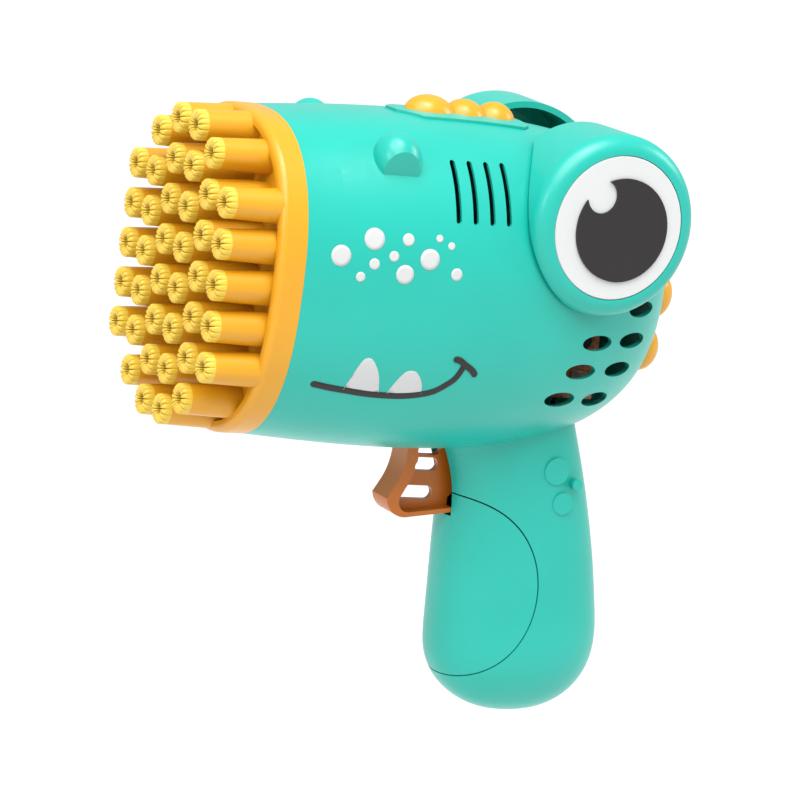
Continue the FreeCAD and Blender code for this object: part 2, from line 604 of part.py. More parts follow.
def trigger():
    front, rear, low_rear = "trigger_front_x", "trigger_rear_x", "trigger_low_rear_x"
    ramp_rear = "ramp_z + ramp_slope * (ramp_x + 27)"
    ramp_front = "ramp_z + ramp_slope * (ramp_x - trigger_front_x)"
    corners = [(front, "44.5"), (f"{front} - 3.2", "33.6"), (f"{front} - 4.9", "30.6"), ("-42", "25.0"),
               (low_rear, "27.1"), (low_rear, "31.0"), (rear, "32.8"), (rear, "35.4"), ("spring_x", "37.4"), ("spring_x", "51.2"), ("-15", "51.2"),
               ("-15", "54"), ("-27", ramp_rear), (front, ramp_front)]
    blank = padded("trigger_blank", "XZ_Plane", "2 * trigger_half_width", corners, {0: "-22", 2: "6.9"})
    rim = "trigger_rim"
    panel = [(f"{front} + {rim}", "50"), (f"{front} + {rim}", "44.5"), (f"{front} + {rim} - 3.2", "33.8"),
             (f"{front} + {rim} - 4.6", "30.8"), ("-42", "26.5"), (f"{rear} + 0.6", "28.9"),
             (f"{rear} + 0.6", "50")]
    panel = padded("trigger_panel", "XZ_Plane", "40", panel, {1: "-22", 3: "3.6"})
    web = box("trigger_web", ("-60", "-trigger_web / 2", "20"), ("0", "trigger_web / 2", "60"))
    sides = cut("trigger_sides", panel, web)
    holes = [stadium("finger_slot_high", "-36.7", "46.6", "10", "4.4"),
             stadium("finger_slot_middle", "-37.0", "41.3", "10", "4.4"),
             stadium("finger_slot_low", "-38.6", "32.2", "12", "4.4")]
    rail_trim = [box(f"rail_trim{i}", ("-60", low, "50.4"), ("0", high, "70"))
                 for i, (low, high) in enumerate((("-20", "-4"), ("4", "20")))]
    lightened = cut("trigger_cut", blank, fuse("trigger_cuts", sides, *holes, *rail_trim))
    pin = cylinder("spring_pin", "1.6", "4", ("spring_x - 0.5", "0", "spring_z"), ALONG_X)
    part("trigger", fuse("trigger", lightened, pin))


def coil(name, at, turn, radius, wire, height, turns):
    """A compression spring: a round wire swept along a helix."""
    spine = doc.addObject("Part::Helix", name + "_helix")
    bind(spine, Radius=radius, Height=height, Pitch=f"({height}) / {turns}")
    ring = doc.addObject("Part::Circle", name + "_wire")
    bind(ring, Radius=wire)
    ring.Placement = Placement(Vector(number(radius), 0, 0), Rotation(Vector(1, 0, 0), 90))
    ring.setExpression("Placement.Base.x", bound(radius))
    spring = doc.addObject("Part::Sweep", name)
    spring.Sections, spring.Spine = [ring], (spine, ["Edge1"])
    spring.Solid, spring.Frenet = True, True
    return place(spring, at, turn)


def trigger_works():
    part("trigger_spring", coil("trigger_spring", ("spring_x + spring_wire", "0", "spring_z"), ALONG_X,
                                "spring_radius", "spring_wire", "spring_length - 2 * spring_wire - 0.1", 6))
    rest_z = "ramp_z + plunger_radius * 1.044 + plunger_gap"
    ball = primitive("Sphere", "plunger_tip", ("ramp_x", "0", rest_z), Radius="plunger_radius")
    stem = cylinder("plunger_stem", "plunger_radius", f"plunger_top_z - ({rest_z})", ("ramp_x", "0", rest_z))
    part("switch_plunger", fuse("switch_plunger", ball, stem))
    low = ("ramp_x - switch_length / 2", "-switch_half_width", "switch_z")
    high = ("ramp_x + switch_length / 2", "switch_half_width", "switch_z + switch_height")
    case = box("switch_case", low, high)
    ear_z = "shelf_z + shelf_thickness"
    ears = box("switch_ears", (low[0], "-8", ear_z), (high[0], "8", f"{ear_z} + 1.4"))
    bore = cylinder("switch_bore", "plunger_radius + switch_clearance", "plunger_top_z + 1.8 - switch_z + 1",
                    ("ramp_x", "0", "switch_z - 1"))
    legs = [box(f"switch_leg{i}", (f"ramp_x - 4.4 + {i} * 4", "-0.4", "switch_z + switch_height"),
                (f"ramp_x - 3.6 + {i} * 4", "0.4", "switch_z + switch_height + 3")) for i in range(3)]
    part("switch_body", cut("switch_body", fuse("switch_blank", case, ears), bore))
    part("switch_legs", group("switch_legs", *legs))


# ---------------------------------------------------------------- fan and motor

def fan_housing():
    middle = Vector(number("bulkhead_x"), 0, number("barrel_z"))
    half_width, half_height = number("bulkhead_half_width"), number("bulkhead_half_height")
    plate = superellipse("bulkhead_ring", middle, Vector(0, 1, 0), Vector(0, 0, 1), half_width, half_height,
                         number("front_power"))
    wall = doc.addObject("Part::Extrusion", "bulkhead_plate")
    wall.Base, wall.DirMode, wall.Dir, wall.Solid = plate, "Custom", Vector(1, 0, 0), True
    bind(wall, LengthFwd="bulkhead")
    tube = cylinder("shroud_outside", "shroud_radius", "shroud_length", ("bulkhead_x", "0", "barrel_z"), ALONG_X)
    bore = cylinder("shroud_inside", "shroud_radius - shroud_wall", "shroud_length + 2",
                    ("bulkhead_x - 1", "0", "barrel_z"), ALONG_X)
    ring = cut("shroud", fuse("shroud_blank", wall, tube), bore)
    back = "bulkhead_x + shroud_length"
    arms = []
    for index, turn in enumerate((0, 90)):
        arm = primitive("Box", f"spider_arm{index}", (f"{back} - 2.4", "0", "barrel_z"), ALONG_Z,
                        Length="2.4", Width="2 * shroud_radius - 1", Height="spider_width")
        across = ("-shroud_radius + 0.5", "barrel_z - spider_width / 2")
        if turn:
            bind(arm, Width="spider_width", Height="2 * shroud_radius - 1")
            across = ("-spider_width / 2", "barrel_z - shroud_radius + 0.5")
        arm.setExpression("Placement.Base.y", bound(across[0]))
        arm.setExpression("Placement.Base.z", bound(across[1]))
        arms.append(arm)
    disc = cylinder("spider_disc", "motor_radius + 1.8", "2.4 + cup_length",
                    (f"{back} - 2.4", "0", "barrel_z"), ALONG_X)
    pocket = cylinder("motor_pocket", "motor_radius + motor_fit", "cup_length + 5",
                      ("motor_x", "0", "barrel_z"), ALONG_X)
    hole = cylinder("boss_hole", "3.2", "20", (f"{back} - 10", "0", "barrel_z"), ALONG_X)
    spider = cut("spider", fuse("spider_blank", disc, *arms), fuse("motor_room", pocket, hole))
    part("fan_housing", fuse("fan_housing", ring, spider))


def motor():
    can = cylinder("can_round", "motor_radius", "motor_length - end_cap", ("motor_x", "0", "barrel_z"), ALONG_X)
    slab = box("can_slab", ("motor_x - 1", "-20", "barrel_z - motor_flat / 2"),
               ("motor_x + 40", "20", "barrel_z + motor_flat / 2"))
    boss = cylinder("can_boss", "3.0", "1.6", ("motor_x - 1.6", "0", "barrel_z"), ALONG_X)
    bearing = cylinder("can_bearing", "shaft_radius + shaft_fit", "60",
                       ("motor_x - 30", "0", "barrel_z"), ALONG_X)
    shell = fuse("can_with_boss", common("can_flat", can, slab), boss)
    part("motor_can", cut("motor_can", shell, bearing))
    cap = cylinder("cap_round", "motor_radius - 0.4", "end_cap",
                   ("motor_x + motor_length - end_cap", "0", "barrel_z"), ALONG_X)
    slab_cap = box("cap_slab", ("motor_x", "-20", "barrel_z - motor_flat / 2 + 0.3"),
                   ("motor_x + 60", "20", "barrel_z + motor_flat / 2 - 0.3"))
    tags = [box(f"motor_tag{i}", ("motor_x + motor_length", f"{y} - 1.2", "barrel_z - 0.2"),
                ("motor_x + motor_length + 3", f"{y} + 1.2", "barrel_z + 0.2")) for i, y in enumerate((-5, 5))]
    part("motor_end_cap", common("motor_end_cap", cap, slab_cap))
    part("motor_tags", group("motor_tags", *tags))
    part("motor_shaft", cylinder("motor_shaft", "shaft_radius", "motor_x + motor_length - end_cap - 1 - fan_x",
                                 ("fan_x", "0", "barrel_z"), ALONG_X))


def impeller():
    hub = cylinder("fan_hub", "hub_radius", "fan_width", ("fan_x", "0", "barrel_z"), ALONG_X)
    reach = cylinder("fan_reach", "fan_radius", "fan_width", ("fan_x", "0", "barrel_z"), ALONG_X)
    blades = []
    for index in range(7):
        around = Rotation(Vector(1, 0, 0), index * 360 / 7)
        twist = around * Rotation(Vector(0, 0, 1), number("blade_turn"))
        blade = primitive("Box", f"blade{index}", ("fan_x", "0", "barrel_z"), twist,
                          Length="fan_width * 1.4", Width="blade", Height="fan_radius + 2")
        corner = twist.multVec(Vector(-number("fan_width") * 0.7, -number("blade") / 2, 0))
        blades.append(place(blade, shifted(("fan_x + fan_width / 2", "0", "barrel_z"), corner), twist))
    wheel = fuse("fan_wheel", hub, common("fan_blades", fuse("blades", *blades), reach))
    hole = cylinder("fan_hole", "shaft_radius", "40", ("fan_x - 1", "0", "barrel_z"), ALONG_X)
    part("impeller", cut("impeller", wheel, hole))


# ---------------------------------------------------------------- circuit board and leads

def circuit_board():
    low = ("board_x - board_length / 2", "board_y - board / 2", "board_z - board_height / 2")
    high = ("board_x + board_length / 2", "board_y + board / 2", "board_z + board_height / 2")
    part("circuit_board", box("circuit_board", low, high))
    face = "board_y - board / 2"
    part("board_plug", box("board_plug", ("board_x + 5.5", f"{face} - 5.6", "board_z - 10"),
                           ("board_x + 9", face, "board_z - 6.5")))
    chips = [box("chip", ("board_x - 9", f"{face} - 1.6", "board_z - 8"), ("board_x - 4", face, "board_z + 1")),
             cylinder("capacitor", "2.5", "6", ("board_x + 5", f"{face} - 6", "board_z + 4"), ALONG_Y)]
    part("board_parts", group("board_parts", *chips))


def lead(name, route):
    """A thin insulated lead of straight runs joined by tangent arcs."""
    points = [Vector(*point) for point in route]
    edges, start = [], points[0]
    for before, corner, after in zip(points, points[1:], points[2:]):
        into, out = (corner - before).normalize(), (after - corner).normalize()
        shorter = min((corner - before).Length, (after - corner).Length)
        reach = 0.45 * shorter
        first, last = corner - into * reach, corner + out * reach
        half_turn = into.getAngle(out) / 2
        bulge = (out - into).normalize() * reach * (1 / math.cos(half_turn) - 1) / math.tan(half_turn)
        middle = corner + bulge
        edges += [Part.LineSegment(start, first).toShape(), Part.Arc(first, middle, last).toShape()]
        start = last
    edges.append(Part.LineSegment(start, points[-1]).toShape())
    spine = doc.addObject("Part::Feature", name + "_route")
    spine.Shape = Part.Wire(edges)
    ring = doc.addObject("Part::Circle", name + "_ring")
    bind(ring, Radius="lead_radius")
    heading = (points[1] - points[0]).normalize()
    ring.Placement = Placement(points[0], Rotation(Vector(0, 0, 1), heading))
    tube = doc.addObject("Part::Sweep", name)
    tube.Sections = [ring]
    tube.Spine = (spine, [f"Edge{i + 1}" for i in range(len(edges))])
    tube.Solid, tube.Frenet = True, False
    part(name, tube)


def leads():
    lead("motor_lead_red",
         [(-36.9, 5, 100), (-30, 7, 100), (-24, 9, 92), (-27, 9, 80), (-32, 7, 74), (-34, 2, 72.3)])
    lead("motor_lead_black",
         [(-36.9, -5, 100), (-30, -8, 100), (-22, -12, 95), (-21, -17, 90), (-18.9, -19.5, 88)])
    lead("battery_lead_red",
         [(-10, 6, 35.4), (-10, 6, 46), (-12, 6, 60), (-20, 4, 72), (-28, 2, 74), (-30, 0, 72.2)])
    lead("battery_lead_black",
         [(2, -6, 35.4), (2, -6, 46), (0, -8, 56), (-2, -14, 64), (-4, -19.5, 68.2)])


# ---------------------------------------------------------------- batteries and door

def leaning(at):
    """A point given along the leaning axes of the grip, in the part's own axes."""
    return LEAN.multVec(Vector(*[number(value) for value in at]))


def in_grip(item, at):
    point = leaning(at)
    item.Placement = Placement(point, LEAN)
    return item


CELLS = (("front_cell_x", "0", 1), ("rear_cell_x", "-side_cell_y", 1), ("rear_cell_x", "side_cell_y", -1))


def leaf_contact(index, x, y, foot, way):
    """A bowed strip on a contact plate, standing up from foot (way 1) or hanging from it (way -1)."""
    centre = f"{foot} + {way} * (leaf_height - leaf_radius)"
    across = LEAN * ALONG_Y
    bends = []
    for name, radius, spare in (("outside", "leaf_radius", "0"), ("inside", "leaf_radius - leaf", "1")):
        bend = doc.addObject("Part::Cylinder", f"leaf_{name}{index}")
        bind(bend, Radius=radius, Height=f"leaf_width + 2 * {spare}")
        bend.Placement = Placement(leaning((x, f"{y} - leaf_width / 2 - {spare}", centre)), across)
        bends.append(bend)
    side = doc.addObject("Part::Box", f"leaf_side{index}")
    bind(side, Length="20", Width="20", Height="10")
    in_grip(side, (f"{x} - 10", f"{y} - 10", foot if way > 0 else f"{foot} - 10"))
    return common(f"leaf{index}", cut(f"leaf_bend{index}", *bends), side)


def batteries():
    springs, plates = [], []
    low, high = "bay_foot + bay_end + contact", "bay_foot + bay_height - bay_end - contact"
    for index, (x, y, way) in enumerate(CELLS, start=1):
        base = f"{low} + leaf_room" if way > 0 else f"{high} - leaf_room - cell_length - nub"
        can = doc.addObject("Part::Cylinder", f"cell_can{index}")
        bind(can, Radius="cell_radius", Height="cell_length")
        nub = doc.addObject("Part::Cylinder", f"cell_nub{index}")
        bind(nub, Radius="nub_radius", Height="nub")
        in_grip(can, (x, y, base if way > 0 else f"{base} + nub"))
        in_grip(nub, (x, y, f"{base} + cell_length" if way > 0 else base))
        part(f"battery_cell_{index}", fuse(f"battery_cell_{index}", can, nub))
        springs.append(leaf_contact(index, x, y, low if way > 0 else high, way))
        for end, foot in (("low", f"{low} - contact"), ("high", high)):
            plate = doc.addObject("Part::Box", f"contact{index}{end}")
            bind(plate, Length="plate_side", Width="plate_side", Height="contact")
            plates.append(in_grip(plate, (f"{x} - plate_side / 2", f"{y} - plate_side / 2", foot)))
    part("contact_springs", group("contact_springs", *springs))
    part("contact_plates", group("contact_plates", *plates))


DOOR_SLIDE = Rotation(Vector(0, 1, 0), 80)


def on_door_screw(across, side, along):
    """Expressions for a point in the door screw's own axes; it lies along the way the door slides off."""
    return shifted(("door_screw_x", "door_screw_y", "door_screw_z"), DOOR_SLIDE.multVec(Vector(across, side, along)))


def door_rod(name, radius, start, length):
    """A cylinder on the door screw's axis."""
    return cylinder(name, radius, length, on_door_screw(0, 0, number(start)), DOOR_SLIDE)


def battery_bay():
    slab = doc.addObject("Part::Box", "bay_slab")
    bind(slab, Length="60", Width="60", Height="bay_height")
    in_grip(slab, ("bay_front_x", "-30", "bay_foot"))
    rooms = []
    for index, (x, y, _) in enumerate(CELLS):
        room = doc.addObject("Part::Cylinder", f"bay_room{index}")
        bind(room, Radius="bay_radius", Height="bay_height - 2 * bay_end")
        rooms.append(in_grip(room, (x, y, "bay_foot + bay_end")))
    throat = doc.addObject("Part::Box", "bay_throat")
    bind(throat, Length="front_cell_x - bay_front_x + 1", Width="2 * bay_radius",
         Height="bay_height - 2 * bay_end")
    rooms.append(in_grip(throat, ("bay_front_x - 1", "-bay_radius", "bay_foot + bay_end")))
    rooms.append(door_rod("door_screw_thread", "shank_radius", "0", "10"))
    tray = cut("bay_tray", slab, fuse("bay_rooms", *rooms))
    part("battery_bay", common("battery_bay", tray, grip("bay_form", number("wall + shell_gap"))))


def battery_door():
    skin = cut("door_skin", grip("door_outside", 0), grip("door_inside", number("wall")))
    disc = cylinder("door_disc", "door_radius", "100", ("door_x", "-50", "door_z"), ALONG_Y)
    side = "trigger_half_width + slot_clearance"
    slot = box("door_trigger_slot", ("-52", f"-({side})", "notch_z"), ("slot_rear_x", side, "51"))
    blank = cut("door_blank", common("door_patch", skin, disc), slot)
    boss = door_rod("door_boss", "head_radius + 1.5", "-4", "5.9")
    inner = common("door_boss_trim", boss, grip("door_form", 0.5))
    hole = door_rod("door_screw_hole", "clearance_radius", "-10", "20")
    sink = door_rod("door_screw_sink", "sink_radius", "-12", "12")
    solid = fuse("door_with_boss", blank, inner)
    part("battery_door", cut("battery_door", solid, fuse("door_holes", hole, sink)))
    head = door_rod("door_screw_head", "head_radius", "-head_height", "head_height")
    shank = door_rod("door_screw_shank", "shank_radius - 0.02", "-1", "10.4")
    recess = primitive("Box", "door_screw_recess", on_door_screw(-0.3, -1.6, -number("head_height") - 1),
                       DOOR_SLIDE, Length="0.6", Width="3.2", Height="1.8")
    part("door_screw", cut("door_screw", fuse("door_screw_blank", head, shank), recess))


# ---------------------------------------------------------------- build, check and write

shells()
body_screws()
nozzle_cap()
eyes()
crest()
trigger()
trigger_works()
fan_housing()
motor()
impeller()
circuit_board()
leads()
batteries()
battery_bay()
battery_door()
doc.recompute()

for item in doc.Objects:
    if {"Invalid", "Error"} & set(item.State):
        raise RuntimeError(f"{item.Label} was not built: {item.State}")
for label, item in PARTS.items():
    if item.Shape.isNull() or not item.Shape.isValid() or not item.Shape.Solids:
        raise RuntimeError(f"{label} has no valid shape")

os.makedirs("parts", exist_ok=True)
for label, item in PARTS.items():
    item.Shape.exportStep(f"parts/{label}.step")
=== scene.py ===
"""Looks for the bubble machine: moulded plastics, the petalled tube tips, the printed face, light and camera.

Metres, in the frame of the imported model: +X from the muzzle to the tail, -Y the creature's left side, +Z up.
"""
import json
import math
import bmesh
import bpy
from mathutils import Matrix, Vector
from mathutils.bvhtree import BVHTree


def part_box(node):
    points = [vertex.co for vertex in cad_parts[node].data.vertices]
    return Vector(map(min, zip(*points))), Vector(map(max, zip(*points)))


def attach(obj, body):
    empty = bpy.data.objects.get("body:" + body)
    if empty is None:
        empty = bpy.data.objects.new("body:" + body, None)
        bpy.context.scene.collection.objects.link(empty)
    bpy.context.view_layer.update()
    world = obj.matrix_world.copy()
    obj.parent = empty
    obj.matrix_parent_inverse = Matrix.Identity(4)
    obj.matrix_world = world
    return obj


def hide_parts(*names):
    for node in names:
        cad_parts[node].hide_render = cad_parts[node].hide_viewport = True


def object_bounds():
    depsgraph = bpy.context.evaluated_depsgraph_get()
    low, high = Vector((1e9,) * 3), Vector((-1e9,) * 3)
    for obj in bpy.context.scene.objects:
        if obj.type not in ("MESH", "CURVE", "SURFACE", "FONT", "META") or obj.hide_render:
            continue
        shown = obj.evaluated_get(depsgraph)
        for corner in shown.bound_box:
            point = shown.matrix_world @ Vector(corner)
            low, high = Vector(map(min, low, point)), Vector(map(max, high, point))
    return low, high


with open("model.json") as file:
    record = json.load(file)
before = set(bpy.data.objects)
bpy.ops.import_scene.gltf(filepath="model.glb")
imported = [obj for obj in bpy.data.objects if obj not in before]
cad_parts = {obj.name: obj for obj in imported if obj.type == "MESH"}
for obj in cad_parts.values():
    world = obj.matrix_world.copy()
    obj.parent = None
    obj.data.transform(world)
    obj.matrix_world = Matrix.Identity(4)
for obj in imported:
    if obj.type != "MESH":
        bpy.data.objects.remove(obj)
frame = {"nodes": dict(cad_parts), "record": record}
cad_low, cad_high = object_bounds()
MM = 0.001


# ---------------------------------------------------------------- camera

def add_camera():
    """A long lens in front of the creature's left side, a little above it and rolled."""
    right, up, back = (0.8920, -0.4310, 0.1366), (-0.0438, 0.2184, 0.9749), (-0.4500, -0.8755, 0.1759)
    lens = bpy.data.cameras.new("camera")
    lens.lens, lens.sensor_width = 211.5, 36
    lens.clip_start, lens.clip_end = 0.05, 60
    camera = bpy.data.objects.new("camera", lens)
    bpy.context.collection.objects.link(camera)
    turn = Matrix((right, up, back)).transposed().to_4x4()
    camera.matrix_world = Matrix.Translation((-0.70898, -1.28646, 0.31969)) @ turn
    bpy.context.scene.camera = camera


add_camera()


# ---------------------------------------------------------------- shader maths

class Wire:
    """An output socket; arithmetic on it adds Math nodes."""

    def __init__(self, finish, socket):
        self.finish, self.socket = finish, socket

    def math(self, operation, *values):
        return self.finish.node("ShaderNodeMath", {"operation": operation}, values)

    def __add__(self, other):
        return self.math("ADD", self, other)

    def __sub__(self, other):
        return self.math("SUBTRACT", self, other)

    def __rsub__(self, other):
        return self.math("SUBTRACT", other, self)

    def __mul__(self, other):
        return self.math("MULTIPLY", self, other)

    __radd__ = __add__
    __rmul__ = __mul__


class Finish:
    """One material and its nodes."""

    def __init__(self, name, **fixed):
        self.material = bpy.data.materials.new(name)
        self.material.use_nodes = True
        self.tree = self.material.node_tree
        self.tree.nodes.clear()
        self.place = self.node("ShaderNodeTexCoord", output="Object")
        self.shader = self.tree.nodes.new("ShaderNodeBsdfPrincipled")
        for socket, value in fixed.items():
            self.shader.inputs[socket.replace("_", " ")].default_value = value
        self.ending = self.tree.nodes.new("ShaderNodeOutputMaterial")
        self.tree.links.new(self.shader.outputs[0], self.ending.inputs["Surface"])

    def node(self, kind, settings=None, sockets=(), output=0):
        """Make a node, set it up, then give its sockets values or wires."""
        made = self.tree.nodes.new(kind)
        for key, value in (settings or {}).items():
            setattr(made, key, value)
        pairs = sockets.items() if isinstance(sockets, dict) else enumerate(sockets)
        for key, value in pairs:
            if isinstance(value, Wire):
                self.tree.links.new(value.socket, made.inputs[key])
            else:
                made.inputs[key].default_value = value
        return Wire(self, made.outputs[output])

    def noise(self, scale, detail=2.0, stretch=None):
        """Cloudy noise from 0 to 1, scale in features per metre."""
        place = self.place
        if stretch:
            place = self.node("ShaderNodeMapping", sockets={"Vector": place, "Scale": stretch})
        return self.node("ShaderNodeTexNoise", sockets={"Vector": place, "Scale": scale, "Detail": detail})

    def ramp(self, value, low, high):
        """0 below low, 1 above high, smooth between."""
        return self.node("ShaderNodeMapRange", {"interpolation_type": "SMOOTHSTEP"},
                         {"Value": value, "From Min": low, "From Max": high})

    def mix(self, amount, first, second):
        return self.node("ShaderNodeMix", {"data_type": "RGBA"}, {0: amount, 6: first, 7: second}, output=2)

    def bump(self, height, distance, strength=1.0):
        return self.node("ShaderNodeBump", sockets={"Height": height, "Distance": distance, "Strength": strength})

    def feed(self, **wires):
        for socket, wire in wires.items():
            self.tree.links.new(wire.socket, self.shader.inputs[socket.replace("_", " ")])
        return self.material


def shade(red, green, blue):
    """A screen colour from 0 to 255, as the linear colour that shaders take."""
    linear = []
    for part in (red, green, blue):
        part /= 255
        linear.append(part / 12.92 if part <= 0.04045 else ((part + 0.055) / 1.055) ** 2.4)
    return (*linear, 1.0)


# ---------------------------------------------------------------- finishes

def moulded(name, colour, deep, roughness=0.34, grain=0.5):
    """Injection-moulded plastic: faint flow clouds, satin skin, fine handling scuffs and orange peel."""
    finish = Finish(name, IOR=1.5)
    clouds = finish.noise(38, 3.0)
    flow = finish.noise(16, 2.0, (1.0, 1.0, 3.5))
    speck = finish.ramp(finish.noise(2600, 1.0), 0.70, 0.78)
    tone = finish.ramp(clouds * 0.6 + flow * 0.4, 0.35, 0.68)
    colour = finish.mix(tone * 0.35 + speck * 0.12, colour, deep)
    scuffs = finish.ramp(finish.noise(210, 4.0, (1.0, 1.0, 6.0)), 0.60, 0.74)
    rough = roughness - 0.04 + clouds * 0.07 + scuffs * 0.10
    peel = finish.noise(420, 2.0) * 0.6 + finish.noise(3400, 2.0) * (0.25 * grain)
    return finish.feed(Base_Color=colour, Roughness=rough, Normal=finish.bump(peel, 0.00003, 0.5))


def printed(name, colour, worn, roughness):
    """Pad-printed ink: nearly even, with the pinholes and thin spots of a worn print."""
    finish = Finish(name, IOR=1.48)
    thin = finish.ramp(finish.noise(900, 3.0), 0.62, 0.80)
    pinholes = finish.ramp(finish.noise(5200, 1.0), 0.74, 0.80)
    blotches = finish.noise(120, 2.0)
    rough = roughness + blotches * 0.12
    tone = finish.mix(thin * 0.20 + pinholes * 0.25, colour, worn)
    return finish.feed(Base_Color=tone, Roughness=rough, Normal=finish.bump(finish.noise(2600, 2.0), 0.000012, 0.6))


def enamel(name, colour, roughness, gloss=0.35):
    """A glossy lacquered disc: clear coat over an even colour, with hairline wiping marks."""
    finish = Finish(name, IOR=1.5, Coat_Roughness=0.05)
    wiping = finish.ramp(finish.noise(700, 3.0, (1.0, 1.0, 0.08)), 0.62, 0.72)
    dust = finish.ramp(finish.noise(4200, 1.0), 0.76, 0.80)
    tone = finish.mix(dust * 0.06, colour, shade(120, 120, 120))
    rough = roughness + wiping * 0.08 + finish.noise(60) * 0.05
    coat = gloss - wiping * (0.4 * gloss)
    return finish.feed(Base_Color=tone, Roughness=rough, Coat_Weight=coat,
                       Normal=finish.bump(finish.noise(300, 2.0), 0.00002, 0.4))


def metal(name, colour, dark, roughness, stretch):
    """Drawn or plated metal: fine lines along the working direction, dull spots where it has oxidised."""
    finish = Finish(name, Metallic=1.0)
    lines = finish.noise(2400, 3.0, stretch)
    dull = finish.ramp(finish.noise(240, 4.0), 0.52, 0.72)
    tone = finish.mix(dull * 0.55 + lines * 0.2, colour, dark)
    rough = roughness + lines * 0.18 + dull * 0.22
    return finish.feed(Base_Color=tone, Roughness=rough, Normal=finish.bump(lines, 0.00002, 0.5))


def phenolic(name):
    """Brown paper laminate: fibres, darker resin clouds and copper tracks under the lacquer."""
    finish = Finish(name, IOR=1.55, Coat_Roughness=0.2)
    fibres = finish.noise(1500, 4.0, (0.25, 1.0, 1.0))
    resin = finish.ramp(finish.noise(160, 3.0), 0.40, 0.66)
    base = finish.mix(resin * 0.6 + fibres * 0.4, shade(176, 96, 42), shade(112, 54, 20))
    tracks = finish.node("ShaderNodeTexVoronoi", {"feature": "DISTANCE_TO_EDGE"},
                         {"Vector": finish.place, "Scale": 240.0, "Randomness": 0.35})
    copper = 1 - finish.ramp(tracks, 0.06, 0.09)
    tone = finish.mix(copper * 0.6, base, shade(196, 120, 58))
    rough = 0.48 - copper * 0.12 + fibres * 0.08
    return finish.feed(Base_Color=tone, Roughness=rough, Coat_Weight=0.25 + resin * 0.1,
                       Normal=finish.bump(copper + fibres * 0.2, 0.00004, 0.7))


def sleeve(name):
    """A cell's printed shrink sleeve: dark body, plain copper-coloured band at the plus end, fine wrinkles."""
    finish = Finish(name, IOR=1.5, Coat_Roughness=0.12)
    height = finish.node("ShaderNodeSeparateXYZ", sockets=(finish.place,), output=2)
    band = finish.ramp(height, 0.0195, 0.0200)
    wrinkles = finish.noise(500, 3.0, (1.0, 1.0, 4.0))
    tone = finish.mix(band, shade(38, 42, 48), shade(186, 118, 62))
    rough = 0.30 + wrinkles * 0.12
    return finish.feed(Base_Color=tone, Roughness=rough, Metallic=band * 0.5, Coat_Weight=0.4 + wrinkles * 0.1,
                       Normal=finish.bump(wrinkles, 0.00004, 0.6))


TEAL, TEAL_DEEP = shade(20, 167, 152), shade(15, 156, 141)
YELLOW, YELLOW_DEEP = shade(206, 148, 24), shade(200, 134, 14)
AMBER, AMBER_DEEP = shade(182, 98, 14), shade(170, 88, 12)
finishes = {
    "teal_plastic": moulded("teal_moulding", TEAL, TEAL_DEEP),
    "yellow_plastic": moulded("yellow_moulding", YELLOW, YELLOW_DEEP, 0.32),
    "amber_plastic": moulded("amber_moulding", AMBER, AMBER_DEEP, 0.36),
    "white_plastic": enamel("eye_white_lacquer", shade(196, 197, 197), 0.28),
    "black_gloss": enamel("pupil_lacquer", shade(12, 6, 5), 0.24, 0.10),
    "grey_plastic": moulded("fan_housing_moulding", shade(214, 216, 214), shade(196, 198, 196), 0.5, 1.0),
    "black_plastic": moulded("black_moulding", shade(34, 34, 36), shade(24, 24, 26), 0.5, 1.0),
    "steel": metal("bright_steel", (0.62, 0.62, 0.64, 1), (0.34, 0.33, 0.32, 1), 0.22, (1.0, 1.0, 0.06)),
    "brass": metal("contact_brass", (0.78, 0.58, 0.26, 1), (0.42, 0.27, 0.11, 1), 0.24, (0.08, 1.0, 1.0)),
    "phenolic_board": phenolic("board_laminate"),
    "battery_sleeve": sleeve("cell_sleeve"),
    "red_lead": moulded("red_insulation", shade(190, 24, 20), shade(160, 16, 14), 0.42, 1.0),
    "black_lead": moulded("black_insulation", shade(26, 26, 26), shade(16, 16, 16), 0.42, 1.0),
}
# The tips use the yellow moulding made paler and creamier: a painted highlight for the light their front faces
# catch.
tip_painted_highlight_finish = moulded("tip_moulding_painted_highlight", shade(214, 182, 62), shade(210, 168, 42), 0.42)
white_ink = printed("white_ink", shade(186, 187, 187), shade(150, 172, 168), 0.40)
black_ink = printed("black_ink", shade(20, 20, 20), shade(34, 44, 42), 0.42)

slots = {part["node"]: part["material_slot"] for part in frame["record"]["subparts"]}


# ---------------------------------------------------------------- pieces

def add_piece(name, form, body, material, sharp=35.0):
    """Turn a bmesh into a smooth-shaded piece that rides on a body."""
    mesh = bpy.data.meshes.new(name)
    form.to_mesh(mesh)
    form.free()
    mesh.materials.append(material)
    piece = bpy.data.objects.new(name, mesh)
    bpy.context.collection.objects.link(piece)
    mesh.shade_smooth()
    if sharp < 180:
        mesh.set_sharp_from_angle(angle=math.radians(sharp))
    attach(piece, body)
    return piece


def finish_cad_nodes():
    """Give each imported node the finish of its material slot."""
    for name, node in frame["nodes"].items():
        node.data.materials.clear()
        node.data.materials.append(finishes[slots[name]])


PETALS, PETAL_STEPS = 16, 10
PETAL_PROFILE = (  # radius and depth behind the tip face in mm, from inside the bore to the foot outside
    (1.75, 3.0), (1.75, 1.0), (1.95, 0.35), (2.5, 0.06), (3.5, 0.0), (4.15, 0.08), (4.6, 0.5), (4.75, 1.1),
    (4.75, 3.0))
SLIT_REACH, SCALLOP, GROOVE = 1.1, 0.5, 1.0


